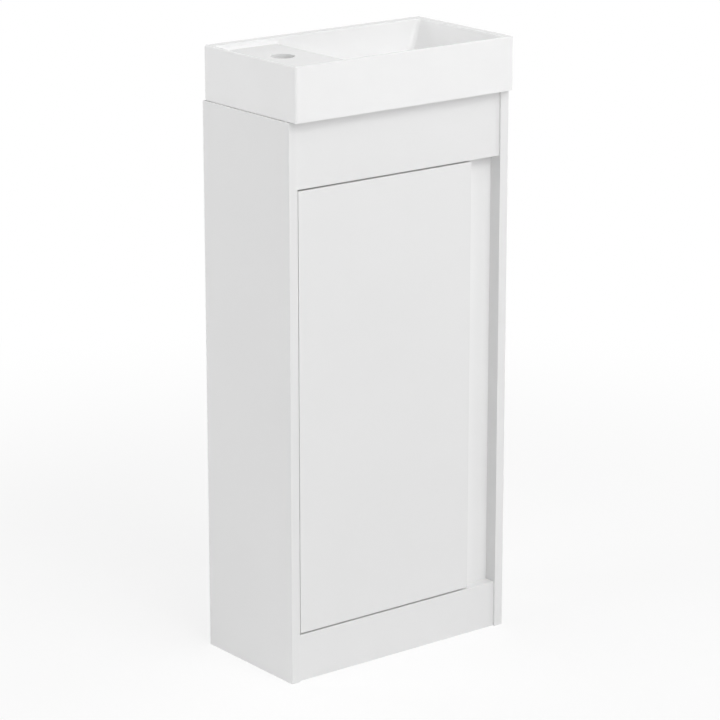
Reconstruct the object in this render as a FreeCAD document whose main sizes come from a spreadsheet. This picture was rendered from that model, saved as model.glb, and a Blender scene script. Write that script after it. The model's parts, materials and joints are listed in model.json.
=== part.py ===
import FreeCAD, Part
import math
import os
import re

import Sketcher

# Freestanding one-door vanity unit with a ceramic basin. Millimetres, +Z up, the door faces -Y.
# The origin is on the floor, under the middle of the unit.

SIZES = [
    # Cabinet
    ("cabinet_width", 400, "cabinet, over both side panels"),
    ("cabinet_depth", 205, "side panels, front edge to back edge"),
    ("cabinet_height", 830, "floor to the top of the side panels"),
    ("side_thickness", 15, "side panels"),
    ("board_thickness", 15, "base, shelf, recess panel and rear rails"),
    ("front_thickness", 18, "plinth and fascia rail"),
    ("face_setback", 3.25, "plinth, rail and door face, behind the side panels' front edges"),
    ("plinth_height", 71, "plinth, and the top of the base panel"),
    ("rail_height", 97.5, "fascia rail"),
    ("rear_rail_height", 100, "both rear rails"),
    ("recess_panel_width", 85, "panel behind the finger recess"),
    ("edge_round", 0.6, "rounding of the boards' showing edges"),
    # Door
    ("door_thickness", 16, "door"),
    ("door_gap", 2.5, "gap above and below the door"),
    ("door_gap_hinge", 3.5, "gap between the door and the left side panel"),
    ("finger_recess_width", 52, "open space between the door and the right side panel"),
    ("bumper_diameter", 8, "door bumpers"),
    ("bumper_thickness", 1.8, "door bumpers"),
    ("bumper_inset", 10, "bumper centre from the door's free edge"),
    ("bumper_end_distance", 25, "bumper centre from the door's top and bottom edges"),
    # Shelf
    ("shelf_level", 400, "underside of the shelf above the floor"),
    ("shelf_setback", 42, "shelf front edge behind the side panels' front edges"),
    ("shelf_side_gap", 0.5, "gap at each end of the shelf"),
    ("shelf_back_gap", 2, "gap between the shelf and the rear rails' front plane"),
    ("shelf_pin_diameter", 5, "shelf pins"),
    ("shelf_pin_depth", 9, "shelf pin, length in the panel"),
    ("shelf_pin_reach", 8, "shelf pin, length under the shelf"),
    ("shelf_pin_inset", 30, "pin columns from the shelf's front and back edges"),
    ("shelf_row_pitch", 32, "spacing of the pin hole rows"),
    # Basin
    ("basin_width", 394, "basin"),
    ("basin_overhang", 12.5, "basin front, in front of the side panels"),
    ("basin_height", 79.5, "basin, foot to rim"),
    ("basin_corner", 3, "rounding of the basin's upright outer corners"),
    ("rim_round", 2, "rounding of the rim's edges"),
    ("rim_front", 6, "rim thickness at the front"),
    ("rim_left", 5, "rim thickness at the tap end"),
    ("rim_right", 13, "rim thickness at the bowl end"),
    ("rim_back", 16, "rim thickness at the back"),
    ("deck_drop", 8.5, "tap deck below the rim"),
    ("deck_length", 110, "tap deck, along the basin"),
    ("deck_thickness", 9.5, "ceramic under the tap deck"),
    ("deck_splay", 3, "splay between the deck and the walls round it"),
    ("deck_edge_round", 2, "rounding of the edge between the deck and the bowl"),
    ("deck_corner", 9, "rounding of the deck's corners in plan"),
    ("bowl_corner", 6, "rounding of the bowl's corners in plan, at the rim"),
    ("bowl_floor_corner", 12, "rounding of the bowl's corners in plan, at the floor"),
    ("bowl_depth", 56, "rim to the edge of the bowl floor"),
    ("bowl_deck_lean", 6, "how far the bowl's wall under the deck leans in"),
    ("bowl_end_lean", 18, "how far the bowl's far end wall leans in"),
    ("bowl_floor_round", 10, "rounding between the bowl's walls and floor"),
    ("dish_diameter", 130, "dished part of the bowl floor"),
    ("dish_drop", 3, "fall of the dish to the waste"),
    ("waste_seat_diameter", 66, "seat for the waste flange"),
    ("waste_seat_drop", 2.5, "depth of that seat"),
    ("waste_diameter", 45, "waste hole"),
    ("tap_diameter", 35, "tap hole"),
    ("tap_from_end", 63, "tap hole centre from the basin's tap end"),
    ("tap_from_front", 114, "tap hole centre from the basin's front"),
    ("basin_foot_side", 12, "foot of the basin at its ends and back"),
    ("basin_foot_front", 33, "foot of the basin at its front"),
    ("basin_hollow_length", 85, "hollow under the tap deck, along the basin"),
    ("seal_thickness", 0.5, "bedding seal under the basin"),
    ("seal_width", 8, "bedding seal, width of each run"),
    ("seal_margin", 2, "seal, in from the edge that it lies along"),
    # Concealed hinges
    ("cup_diameter", 35, "hinge cup"),
    ("cup_depth", 11.5, "hinge cup, depth in the door"),
    ("cup_floor", 0.9, "hinge cup, thickness of its floor"),
    ("cup_edge_margin", 3.5, "door edge to the cup's bore"),
    ("cup_slot_width", 27, "slot in the cup, across the door"),
    ("cup_flange_thickness", 1.2, "cup flange on the door's back"),
    ("cup_flange_width", 30, "cup flange, across the door"),
    ("cup_flange_height", 62, "cup flange, upright"),
    ("cup_screw_spacing", 48, "cup screws, upright spacing"),
    ("pivot_depth", 9, "hinge pin behind the door's face"),
    ("hinge_end_distance", 90, "hinge centre from the door's top and bottom edges"),
    ("hinge_pin_diameter", 4, "hinge pin"),
    ("hinge_pin_length", 29, "hinge pin"),
    ("eye_wall", 1.2, "hinge arm, wall round the pin"),
    ("arm_thickness", 2.5, "hinge arm"),
    ("arm_height", 14, "hinge arm, upright"),
    ("arm_swing_radius", 27, "hinge pin to the arm's cross run"),
    ("arm_foot_length", 32, "hinge arm, length along the plate"),
    ("plate_thickness", 2, "hinge mounting plate"),
    ("plate_length", 26, "hinge mounting plate, front to back"),
    ("plate_height", 50, "hinge mounting plate, upright"),
    ("plate_screw_spacing", 32, "plate screws, upright spacing"),
    ("screw_diameter", 3.5, "hinge screws, shank"),
    ("screw_length", 12, "hinge screws, under the head"),
    ("screw_head_diameter", 6.5, "hinge screws, head"),
    ("screw_head_height", 2, "hinge screws, head"),
    ("screw_recess_length", 4, "hinge screws, each slot of the cross recess"),
    ("screw_recess_width", 1, "hinge screws, each slot of the cross recess"),
    ("screw_recess_depth", 1, "hinge screws, each slot of the cross recess"),
    # Magnetic catch
    ("magnet_diameter", 8, "catch magnet"),
    ("magnet_length", 9, "catch magnet"),
    ("sleeve_wall", 1, "catch sleeve, wall and floor"),
    ("strike_diameter", 16, "strike plate on the door"),
    ("strike_thickness", 1.2, "strike plate on the door"),
    ("strike_screw_diameter", 3, "strike screw, shank"),
    ("strike_screw_length", 11, "strike screw, from the plate's face"),
    ("catch_inset", 16, "catch centre from the door's free edge"),
    ("catch_end_distance", 60, "catch centre from the door's top edge"),
    # Knock-down fittings
    ("cam_diameter", 15, "cam housing bore"),
    ("cam_height", 12, "cam housing"),
    ("cam_axis_depth", 7.5, "cam bolt behind the face that holds the housing"),
    ("cam_reach", 24, "cam housing centre from the board's end"),
    ("cam_inset", 40, "base panel bolts from its front and back edges"),
    ("cam_slot_width", 1.5, "screwdriver slot in the cam housing"),
    ("cam_slot_depth", 2, "screwdriver slot in the cam housing"),
    ("bolt_thread_diameter", 5, "cam bolt in the side panel"),
    ("bolt_thread_length", 10, "cam bolt in the side panel"),
    ("bolt_shank_diameter", 6, "cam bolt in the board's end"),
    ("dowel_diameter", 8, "dowels"),
    ("dowel_depth_panel", 10, "dowel, length in the side panel"),
    ("dowel_depth_board", 20, "dowel, length in the board's end"),
    ("dowel_spacing", 40, "spacing of a dowel pair or of a dowel and a bolt"),
    # Wall fixing
    ("wall_hole_diameter", 6, "wall screw holes in the rear top rail"),
    ("wall_hole_spacing", 250, "wall screw holes, side to side"),
    # Clearances
    ("press_clearance", 0.02, "radial room of a pressed or screwed fit"),
    ("running_clearance", 0.05, "radial room of the hinge pin in the arm"),
    ("free_clearance", 0.3, "room between pieces that must not touch"),
]

# Places that more than one piece uses, as formulas of the sizes
NOUGHT = "0"
FRONT = "((basin_overhang - cabinet_depth) / 2)"
BACK = "((basin_overhang + cabinet_depth) / 2)"
INNER = "(cabinet_width / 2 - side_thickness)"
CLEAR_WIDTH = "(cabinet_width - 2 * side_thickness)"
FACE = f"({FRONT} + face_setback)"
RECESS = f"({FACE} + front_thickness)"
RAIL_FOOT = "(cabinet_height - rail_height)"
REAR = f"({BACK} - board_thickness)"
DOOR_LEFT = f"(door_gap_hinge - {INNER})"
DOOR_WIDTH = f"({CLEAR_WIDTH} - door_gap_hinge - finger_recess_width)"
DOOR_FOOT = "(plinth_height + door_gap)"
DOOR_HEIGHT = f"({RAIL_FOOT} - plinth_height - 2 * door_gap)"
DOOR_BACK = f"({FACE} + door_thickness)"
PIVOT_INSET = "(cup_edge_margin + cup_diameter / 2)"
PIVOT_X = f"({DOOR_LEFT} + {PIVOT_INSET})"
PIVOT_Y = f"({FACE} + pivot_depth)"
HINGE_OFFSETS = {"lower": "hinge_end_distance", "upper": f"({DOOR_HEIGHT} - hinge_end_distance)"}
PLATE_Y = f"({PIVOT_Y} + arm_swing_radius + arm_foot_length - plate_length)"
CATCH_HEIGHT = f"({DOOR_HEIGHT} - catch_end_distance)"
CATCH_X = f"({DOOR_LEFT} + {DOOR_WIDTH} - catch_inset)"
SHELF_DEPTH = "(cabinet_depth - shelf_setback - board_thickness - shelf_back_gap)"
BASIN_DEPTH = "(cabinet_depth + basin_overhang)"
BASIN_FOOT = "(cabinet_height + seal_thickness)"

doc = FreeCAD.newDocument("vanity_unit")
pieces = []
size = {}


def fill_sheet():
    """Writes every driving size to the sheet, under its own name."""
    sheet = doc.addObject("Spreadsheet::Sheet", "Sizes")
    for row, (name, value, words) in enumerate(SIZES, start=1):
        sheet.set(f"A{row}", words)
        sheet.set(f"B{row}", str(value))
        sheet.setAlias(f"B{row}", name)
        size[name] = value
    doc.recompute()


def bind(thing, place, formula):
    """Ties one property to a formula of the named sizes."""
    named = re.sub(r"[a-z]+(?:_[a-z]+)+", lambda word: "Sizes." + word.group(0), formula)
    thing.setExpression(place, named)


def bind_place(thing, place):
    for axis, formula in zip("xyz", place):
        bind(thing, f"Placement.Base.{axis}", formula)


def finish(thing, label):
    """Names a piece, so that it is checked and written under that name."""
    thing.Label = label
    pieces.append(thing)
    return thing


# Simple solids and their sums and differences

TURNS = {
    "z": FreeCAD.Rotation(),
    "x": FreeCAD.Rotation(FreeCAD.Vector(0, 1, 0), 90),
    "y": FreeCAD.Rotation(FreeCAD.Vector(1, 0, 0), -90),
}


def box(name, corner, sides, turn=0):
    """A block from its low corner, turned about its upright edge there."""
    block = doc.addObject("Part::Box", name)
    block.Placement = FreeCAD.Placement(FreeCAD.Vector(), FreeCAD.Rotation(turn, 0, 0))
    for side, formula in zip(("Length", "Width", "Height"), sides):
        bind(block, side, formula)
    bind_place(block, corner)
    return block


def cylinder(name, start, radius, length, axis="z"):
    """A round bar from the middle of its first end, along one axis."""
    bar = doc.addObject("Part::Cylinder", name)
    bar.Placement = FreeCAD.Placement(FreeCAD.Vector(), TURNS[axis])
    bind(bar, "Radius", radius)
    bind(bar, "Height", length)
    bind_place(bar, start)
    return bar


def cone(name, start, room):
    """A countersunk head along +Y, from the strike screw's shank out to the strike's face."""
    head = doc.addObject("Part::Cone", name)
    head.Placement = FreeCAD.Placement(FreeCAD.Vector(), TURNS["y"])
    bind(head, "Radius1", f"strike_screw_diameter / 2 + {room}")
    bind(head, "Radius2", f"strike_screw_diameter / 2 + strike_thickness + {room}")
    bind(head, "Height", "strike_thickness")
    bind_place(head, start)
    return head


def cross_recess(name, length, width, depth, level):
    """Two crossed slots, sunk upwards from a level on the upright axis."""
    slots = []
    for across, along in ((length, width), (width, length)):
        corner = (f"-({across}) / 2", f"-({along}) / 2", level)
        slots.append(box(name + "_slot", corner, (across, along, depth)))
    return slots


def joined(name, solids):
    total = doc.addObject("Part::MultiFuse", name)
    total.Shapes = solids
    return total


def cut(name, base, tools):
    rest = doc.addObject("Part::Cut", name)
    rest.Base = base
    rest.Tool = tools[0] if len(tools) == 1 else joined(name + "_tools", tools)
    return rest


def group(label, solids):
    """Like pieces that share one name."""
    together = doc.addObject("Part::Compound", label)
    together.Links = solids
    return finish(together, label)


def copies(label, master, places):
    """Repeats one master solid, with its own placing, at a list of places and turns."""
    links = []
    for place, rotation in places:
        link = doc.addObject("App::Link", label + "_copy")
        link.LinkedObject = master
        link.LinkTransform = True
        link.Placement = FreeCAD.Placement(FreeCAD.Vector(), rotation)
        bind_place(link, place)
        links.append(link)
    return group(label, links)


# Boards

def new_sketch(body, name, role, offset=NOUGHT):
    sketch = body.newObject("Sketcher::SketchObject", name)
    plane = next(feature for feature in body.Origin.OriginFeatures if feature.Role == role)
    sketch.AttachmentSupport = [(plane, "")]
    sketch.MapMode = "FlatFace"
    bind(sketch, "AttachmentOffset.Base.z", offset)
    return sketch


def dimension(sketch, kind, where, name, formula, start):
    """Adds one driving dimension with a name, tied to a formula."""
    index = sketch.addConstraint(Sketcher.Constraint(kind, *where, start))
    sketch.renameConstraint(index, name)
    bind(sketch, f"Constraints.{name}", formula)


ORIGIN_POINT = (-1, 1)
START = 1
END = 2
CENTRE = 3

# Rectangles and holes are first drawn at rough places, and their dimensions then move them
ROUGH_LOW = 10
ROUGH_LENGTH = 80
ROUGH_DEPTH = 60
ROUGH_STEP = 25
ROUGH_DIAMETER = 4
NEAR = 1e-3


def rectangle(sketch, low, sides):
    """A rectangle from its low corner, given by formulas."""
    right = ROUGH_LOW + ROUGH_LENGTH
    back = ROUGH_LOW + ROUGH_DEPTH
    outline = ((ROUGH_LOW, ROUGH_LOW), (right, ROUGH_LOW), (right, back), (ROUGH_LOW, back))
    corners = [FreeCAD.Vector(x, y) for x, y in outline]
    for first, second in zip(corners, corners[1:] + corners[:1]):
        sketch.addGeometry(Part.LineSegment(first, second))
    for line in range(4):
        sketch.addConstraint(Sketcher.Constraint("Coincident", line, END, (line + 1) % 4, START))
        sketch.addConstraint(Sketcher.Constraint("Vertical" if line % 2 else "Horizontal", line))
    dimension(sketch, "DistanceX", (0, START, 0, END), "length", sides[0], ROUGH_LENGTH)
    dimension(sketch, "DistanceY", (1, START, 1, END), "depth", sides[1], ROUGH_DEPTH)
    dimension(sketch, "DistanceX", (*ORIGIN_POINT, 0, START), "from_left", low[0], ROUGH_LOW)
    dimension(sketch, "DistanceY", (*ORIGIN_POINT, 0, START), "from_front", low[1], ROUGH_LOW)


def pad(body, name, sketch, height):
    feature = body.newObject("PartDesign::Pad", name)
    feature.Profile = sketch
    bind(feature, "Length", height)
    return feature


def pocket(body, name, sketch, depth, upward=False):
    feature = body.newObject("PartDesign::Pocket", name)
    feature.Profile = sketch
    feature.Reversed = upward
    bind(feature, "Length", depth)
    return feature


def is_upright(edge):
    return edge.BoundBox.ZLength > edge.Length - NEAR


def is_level(edge):
    return edge.BoundBox.ZLength < NEAR


def edges_of(feature, wanted):
    """A feature and the names of its edges that pass a test."""
    doc.recompute()
    return feature, [f"Edge{n}" for n, edge in enumerate(feature.Shape.Edges, start=1) if wanted(edge)]


def round_edges(body, name, base, radius, wanted):
    """Rounds the edges of a feature that pass a test."""
    feature = body.newObject("PartDesign::Fillet", name)
    feature.Base = edges_of(base, wanted)
    bind(feature, "Radius", radius)
    return feature


def splay_edges(body, name, base, width, wanted):
    """Splays the edges of a feature that pass a test, at 45 degrees."""
    feature = body.newObject("PartDesign::Chamfer", name)
    feature.Base = edges_of(base, wanted)
    bind(feature, "Size", width)
    return feature


class Board:
    """A flat board with its low corner at a place, which can be drilled from any face."""

    def __init__(self, label, corner, sides, rounded=()):
        self.label = label
        self.sides = sides
        self.body = doc.addObject("PartDesign::Body", label)
        finish(self.body, label)
        bind_place(self.body, corner)
        sketch = new_sketch(self.body, label + "_outline", "XY_Plane")
        rectangle(sketch, (NOUGHT, NOUGHT), sides)
        blank = pad(self.body, label + "_blank", sketch, sides[2])
        self.drillings = 0
        if rounded:
            round_edges(self.body, label + "_edges", blank, "edge_round", self.edge_test(blank, rounded))

    def edge_test(self, blank, rounded):
        """Picks edges by the two faces that they lie on, such as front and left."""
        doc.recompute()
        room = blank.Shape.BoundBox
        limits = {
            "left": ("x", room.XMin),
            "right": ("x", room.XMax),
            "front": ("y", room.YMin),
            "back": ("y", room.YMax),
            "bottom": ("z", room.ZMin),
            "top": ("z", room.ZMax),
        }

        def on_face(edge, face):
            axis, value = limits[face]
            return abs(getattr(edge.CenterOfMass, axis) - value) < NEAR

        return lambda edge: any(all(on_face(edge, face) for face in pair) for pair in rounded)

    def drill(self, face, spots, diameter, depth):
        """Drills holes into one face. A spot is (across, up): across is X, or Y on an end face."""
        length, width, height = self.sides
        role, offset, upward = {
            "left": ("YZ_Plane", NOUGHT, True),
            "right": ("YZ_Plane", length, False),
            "front": ("XZ_Plane", NOUGHT, False),
            "back": ("XZ_Plane", f"-({width})", True),
            "bottom": ("XY_Plane", NOUGHT, True),
            "top": ("XY_Plane", height, False),
        }[face]
        self.drillings += 1
        name = f"{self.label}_holes_{self.drillings}"
        sketch = new_sketch(self.body, name + "_plan", role, offset)
        for hole, (across, up) in enumerate(spots):
            start = FreeCAD.Vector(ROUGH_LOW + ROUGH_STEP * hole, ROUGH_LOW)
            sketch.addGeometry(Part.Circle(start, FreeCAD.Vector(0, 0, 1), ROUGH_DIAMETER / 2))
            dimension(sketch, "DistanceX", (*ORIGIN_POINT, hole, CENTRE), f"across_{hole}", across, start.x)
            dimension(sketch, "DistanceY", (*ORIGIN_POINT, hole, CENTRE), f"up_{hole}", up, start.y)
            dimension(sketch, "Diameter", (hole,), f"bore_{hole}", diameter, ROUGH_DIAMETER)
        doc.recompute()
        before = self.body.Shape.Volume
        pocket(self.body, name, sketch, depth, upward)
        doc.recompute()
        if self.body.Shape.Volume >= before:
            raise RuntimeError(name + " removed nothing")


PRESSED_BOLT = "bolt_thread_diameter + 2 * press_clearance"
PRESSED_DOWEL = "dowel_diameter + 2 * press_clearance"
PRESSED_SCREW = "screw_diameter + 2 * press_clearance"
SCREW_BORE = f"({PRESSED_SCREW}) / 2"
BOLT_WAY = "bolt_shank_diameter + 2 * free_clearance"
CAM_BORE_DEPTH = "cam_height + free_clearance"

# Where the boards join the side panels: (Y, Z) of each fitting, from the panel's front edge and the floor
BASE_FRONT = "(face_setback + front_thickness)"
BASE_DEPTH = f"(cabinet_depth - {BASE_FRONT})"
BASE_MIDDLE = "(plinth_height - cam_axis_depth)"
RAIL_MIDDLE = "(cabinet_height - rail_height / 2)"
RAIL_BOLT_Y = f"({BASE_FRONT} - cam_axis_depth)"
REAR_BOLT_Y = "(cabinet_depth - board_thickness + cam_axis_depth)"
REAR_TOP_MIDDLE = "(cabinet_height - rear_rail_height / 2)"
REAR_LOW_MIDDLE = "(plinth_height + rear_rail_height / 2)"
FRONT_DOWEL_Y = "(face_setback + front_thickness / 2)"
HALF_SPACING = "dowel_spacing / 2"

BOLT_SPOTS = {
    "base_panel": [
        (f"{BASE_FRONT} + cam_inset", BASE_MIDDLE),
        ("cabinet_depth - cam_inset", BASE_MIDDLE),
    ],
    "top_fascia_rail": [(RAIL_BOLT_Y, f"{RAIL_MIDDLE} - {HALF_SPACING}")],
    "rear_top_rail": [(REAR_BOLT_Y, f"{REAR_TOP_MIDDLE} - {HALF_SPACING}")],
    "rear_bottom_rail": [(REAR_BOLT_Y, f"{REAR_LOW_MIDDLE} - {HALF_SPACING}")],
}
DOWEL_SPOTS = {
    "plinth": [
        (FRONT_DOWEL_Y, f"plinth_height / 2 - {HALF_SPACING}"),
        (FRONT_DOWEL_Y, f"plinth_height / 2 + {HALF_SPACING}"),
    ],
    "top_fascia_rail": [(RAIL_BOLT_Y, f"{RAIL_MIDDLE} + {HALF_SPACING}")],
    "rear_top_rail": [(REAR_BOLT_Y, f"{REAR_TOP_MIDDLE} + {HALF_SPACING}")],
    "rear_bottom_rail": [(REAR_BOLT_Y, f"{REAR_LOW_MIDDLE} + {HALF_SPACING}")],
}
RECESS_DOWEL_Y = f"({BASE_FRONT} + board_thickness / 2)"
RECESS_DOWELS = [
    (RECESS_DOWEL_Y, f"plinth_height + {HALF_SPACING}"),
    (RECESS_DOWEL_Y, "(plinth_height + cabinet_height) / 2"),
    (RECESS_DOWEL_Y, f"{RAIL_FOOT} - {HALF_SPACING}"),
]
SHELF_COLUMNS = [
    "shelf_setback + shelf_pin_inset",
    f"shelf_setback + {SHELF_DEPTH} - shelf_pin_inset",
]
SHELF_PIN_LEVEL = "(shelf_level - shelf_pin_diameter / 2)"
SHELF_ROWS = [f"{SHELF_PIN_LEVEL} {step} * shelf_row_pitch" for step in ("- 1", "+ 0", "+ 1")]
HINGE_SCREW_Y = f"({PLATE_Y} + plate_length / 2 - {FRONT})"
HINGE_SCREW_SPOTS = [
    (HINGE_SCREW_Y, f"{DOOR_FOOT} + {offset} {sign} plate_screw_spacing / 2")
    for offset in HINGE_OFFSETS.values()
    for sign in "-+"
]


def all_spots(table):
    return [spot for spots in table.values() for spot in spots]


def side_panel(label, left):
    """One side panel: full height, drilled on its inner face for the fittings."""
    x = "-cabinet_width / 2" if left else INNER
    sides = ("side_thickness", "cabinet_depth", "cabinet_height")
    rounded = [("front", "left"), ("front", "right"), ("front", "top"), ("left", "top"), ("right", "top")]
    panel = Board(label, (x, FRONT, NOUGHT), sides, rounded)
    inner_face = "right" if left else "left"
    dowels = all_spots(DOWEL_SPOTS)
    if left:
        panel.drill(inner_face, HINGE_SCREW_SPOTS, PRESSED_SCREW, "screw_length - plate_thickness")
    else:
        dowels = dowels + RECESS_DOWELS
    panel.drill(inner_face, all_spots(BOLT_SPOTS), PRESSED_BOLT, "bolt_thread_length")
    panel.drill(inner_face, dowels, PRESSED_DOWEL, "dowel_depth_panel")
    pins = [(column, row) for column in SHELF_COLUMNS for row in SHELF_ROWS]
    panel.drill(inner_face, pins, "shelf_pin_diameter + 2 * press_clearance", "shelf_pin_depth")


def cross_board(label, corner, sides, cam_face, rounded=()):
    """A board between the side panels, with its end holes and the bores for its cam housings."""
    board = Board(label, corner, sides, rounded)
    low_y = f"{corner[1]} - {FRONT}"
    bolts = [(f"{y} - ({low_y})", f"{z} - ({corner[2]})") for y, z in BOLT_SPOTS.get(label, [])]
    dowels = [(f"{y} - ({low_y})", f"{z} - ({corner[2]})") for y, z in DOWEL_SPOTS.get(label, [])]
    for face in ("left", "right"):
        if bolts:
            board.drill(face, bolts, BOLT_WAY, "cam_reach")
        if dowels:
            board.drill(face, dowels, PRESSED_DOWEL, "dowel_depth_board")
    ends = ("cam_reach", f"{CLEAR_WIDTH} - cam_reach")
    if bolts:
        spots = [(x, y if cam_face == "bottom" else z) for x in ends for y, z in bolts]
        board.drill(cam_face, spots, "cam_diameter + 2 * press_clearance", CAM_BORE_DEPTH)
    return board


def make_carcass_boards():
    """The fixed boards of the cabinet."""
    side_panel("left_side_panel", True)
    side_panel("right_side_panel", False)
    left = f"-{INNER}"
    cross_board(
        "base_panel",
        (left, RECESS, "plinth_height - board_thickness"),
        (CLEAR_WIDTH, BASE_DEPTH, "board_thickness"),
        "bottom",
    )
    cross_board(
        "plinth",
        (left, FACE, NOUGHT),
        (CLEAR_WIDTH, "front_thickness", "plinth_height"),
        "back",
        [("front", "top")],
    )
    cross_board(
        "top_fascia_rail",
        (left, FACE, RAIL_FOOT),
        (CLEAR_WIDTH, "front_thickness", "rail_height"),
        "back",
        [("front", "bottom"), ("front", "top")],
    )
    rear_top = cross_board(
        "rear_top_rail",
        (left, REAR, "cabinet_height - rear_rail_height"),
        (CLEAR_WIDTH, "board_thickness", "rear_rail_height"),
        "front",
    )
    wall_holes = [
        (f"{CLEAR_WIDTH} / 2 {sign} wall_hole_spacing / 2", "rear_rail_height / 2") for sign in "-+"
    ]
    rear_top.drill("front", wall_holes, "wall_hole_diameter", "board_thickness")
    cross_board(
        "rear_bottom_rail",
        (left, REAR, "plinth_height"),
        (CLEAR_WIDTH, "board_thickness", "rear_rail_height"),
        "front",
    )


def make_recess_panel():
    """The upright panel behind the finger recess, which the door closes against."""
    x = f"{INNER} - recess_panel_width"
    sides = ("recess_panel_width", "board_thickness", "cabinet_height - plinth_height")
    panel = Board("handle_recess_panel", (x, RECESS, "plinth_height"), sides, [("front", "left")])
    dowels = [(f"{y} - {BASE_FRONT}", f"{z} - plinth_height") for y, z in RECESS_DOWELS]
    panel.drill("right", dowels, PRESSED_DOWEL, "dowel_depth_board")
    spot = (f"{CATCH_X} - ({x})", f"door_gap + {CATCH_HEIGHT}")
    bore = "magnet_diameter + 2 * sleeve_wall + 2 * press_clearance"
    panel.drill("front", [spot], bore, "magnet_length + sleeve_wall")


def make_shelf():
    """The loose shelf on four pins."""
    corner = (f"shelf_side_gap - {INNER}", f"{FRONT} + shelf_setback", "shelf_level")
    sides = (f"{CLEAR_WIDTH} - 2 * shelf_side_gap", SHELF_DEPTH, "board_thickness")
    Board("shelf", corner, sides, [("front", "top"), ("front", "bottom")])
    pins = []
    length = "shelf_pin_depth + shelf_pin_reach"
    for start in (f"-{INNER} - shelf_pin_depth", f"{INNER} - shelf_pin_reach"):
        for column in SHELF_COLUMNS:
            place = (start, f"{FRONT} + {column}", SHELF_PIN_LEVEL)
            pins.append(cylinder("shelf_pin", place, "shelf_pin_diameter / 2", length, "x"))
    group("shelf_pins", pins)


def make_fittings():
    """Cam housings, cam bolts and dowels, one master of each and its copies."""
    housing = cylinder("cam_blank", (NOUGHT,) * 3, "cam_diameter / 2", "cam_height")
    bolt_hole = cylinder(
        "cam_bolt_hole",
        ("-cam_diameter", NOUGHT, "cam_axis_depth"),
        f"({BOLT_WAY}) / 2",
        "cam_diameter + free_clearance",
        "x",
    )
    slots = cross_recess("cam", "cam_diameter / 2", "cam_slot_width", "cam_slot_depth", NOUGHT)
    cam = cut("cam_master", housing, [bolt_hole] + slots)
    bolt_end = ("-bolt_thread_length", NOUGHT, NOUGHT)
    thread = cylinder("bolt_thread", bolt_end, "bolt_thread_diameter / 2", "bolt_thread_length", "x")
    shank = cylinder("bolt_shank", (NOUGHT,) * 3, "bolt_shank_diameter / 2", "cam_reach", "x")
    bolt = joined("bolt_master", [thread, shank])
    dowel_end = ("-dowel_depth_panel", NOUGHT, NOUGHT)
    dowel_length = "dowel_depth_panel + dowel_depth_board"
    dowel = cylinder("dowel_master", dowel_end, "dowel_diameter / 2", dowel_length, "x")

    half_turn = FreeCAD.Rotation(FreeCAD.Vector(0, 0, 1), 180)
    face_back = FreeCAD.Rotation(FreeCAD.Vector(1, 0, 0), 90)
    face_front = FreeCAD.Rotation(FreeCAD.Vector(1, 0, 0), -90)
    tilts = {
        "base_panel": (FreeCAD.Rotation(), NOUGHT, "-cam_axis_depth"),
        "top_fascia_rail": (face_back, "cam_axis_depth", NOUGHT),
        "rear_top_rail": (face_front, "-cam_axis_depth", NOUGHT),
        "rear_bottom_rail": (face_front, "-cam_axis_depth", NOUGHT),
    }
    cams = []
    bolts = []
    dowels = []
    for sign, turn in (("-", FreeCAD.Rotation()), ("", half_turn)):
        inward = "+" if sign else "-"
        for label, spots in BOLT_SPOTS.items():
            tilt, shift_y, shift_z = tilts[label]
            for y, z in spots:
                bolts.append(((f"{sign}{INNER}", f"{FRONT} + {y}", z), turn))
                x = f"{sign}{INNER} {inward} cam_reach"
                place = (x, f"{FRONT} + {y} + {shift_y}", f"{z} + {shift_z}")
                cams.append((place, tilt.multiply(turn)))
        for y, z in all_spots(DOWEL_SPOTS) + ([] if sign else RECESS_DOWELS):
            dowels.append(((f"{sign}{INNER}", f"{FRONT} + {y}", z), turn))
    copies("cam_housings", cam, cams)
    copies("cam_bolts", bolt, bolts)
    copies("dowels", dowel, dowels)


# Basin

def chain(sketch, runs):
    """A closed outline of lines and arcs, each running smoothly into the next.

    A run is a line as two points, or an arc as its centre, radius and two angles in degrees,
    drawn from the second angle to the first where it is marked as backward."""
    ends = []
    for run in runs:
        if len(run) == 2:
            sketch.addGeometry(Part.LineSegment(*(FreeCAD.Vector(*point) for point in run)))
            ends.append((START, END))
            continue
        centre, radius, low, high, backward = run
        circle = Part.Circle(FreeCAD.Vector(*centre), FreeCAD.Vector(0, 0, 1), radius)
        sketch.addGeometry(Part.ArcOfCircle(circle, math.radians(low), math.radians(high)))
        ends.append((END, START) if backward else (START, END))
    for index, (_, last) in enumerate(ends):
        following = (index + 1) % len(ends)
        first = ends[following][0]
        sketch.addConstraint(Sketcher.Constraint("Tangent", index, last, following, first))


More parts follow.
